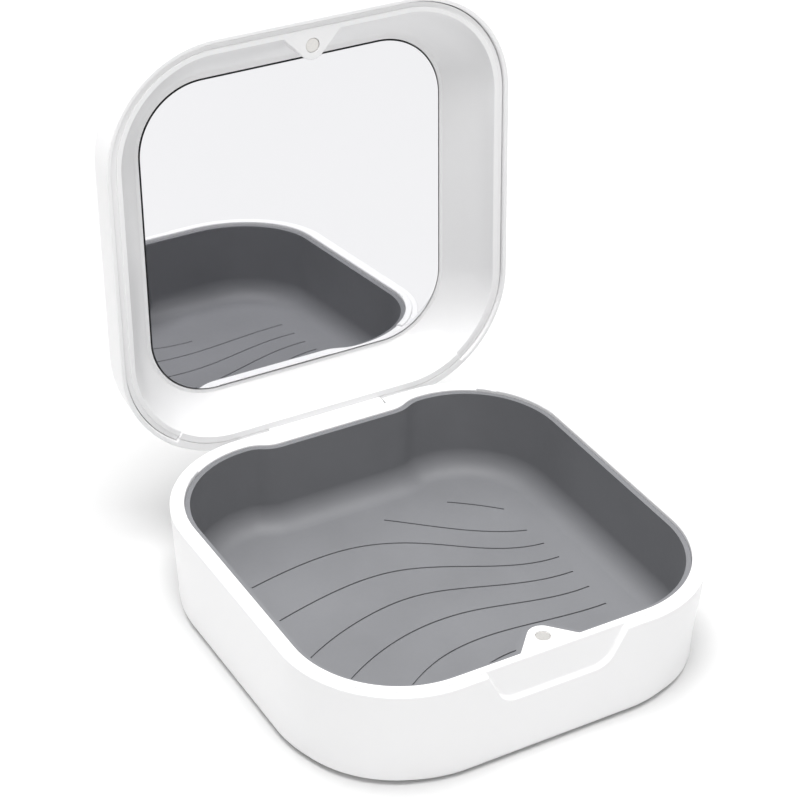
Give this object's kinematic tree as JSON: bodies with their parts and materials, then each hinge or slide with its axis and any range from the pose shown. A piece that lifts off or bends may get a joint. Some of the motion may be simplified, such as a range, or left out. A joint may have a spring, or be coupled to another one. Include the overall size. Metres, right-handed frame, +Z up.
{
  "type": "aligner case",
  "caption": "Square, round-cornered clamshell case for dental aligners: white shells, soft grey tray with wave grooves, mirror in the lid, magnet catch, back hinge.",
  "frame": {"origin": "centre of the base's flat underside, on the surface that the case stands on", "axes": "+Z up, +Y from the magnet catch at the front towards the hinge at the back, +X to the right as seen from the front"},
  "size_m": [0.08, 0.097, 0.0968],
  "materials": {
    "white_gloss": "moulded white plastic with a soft gloss",
    "soft_grey": "matt grey soft-touch moulding",
    "magnet_metal": "nickel-plated, satin",
    "pin_steel": "ground steel",
    "mirror_glass": "silvered glass with a ground edge",
    "mirror_paint": "dark protective paint",
    "tape": "double-sided foam tape"
  },
  "bodies": {
    "base": {"base_shell": "white_gloss", "base_liner": "soft_grey", "base_magnet": "magnet_metal", "hinge_pin": "pin_steel"},
    "lid": {"lid_shell": "white_gloss", "lid_frame": "white_gloss", "lid_magnet": "magnet_metal", "mirror": "mirror_glass", "mirror_coating": "mirror_paint", "mirror_tape": "tape"}
  },
  "joints": [
    {"name": "lid_hinge", "type": "hinge", "parent": "base", "child": "lid", "pos_m": [0, 0.03904, 0.01848], "axis": [1, 0, 0], "range_deg": [0, 94]}
  ]
}
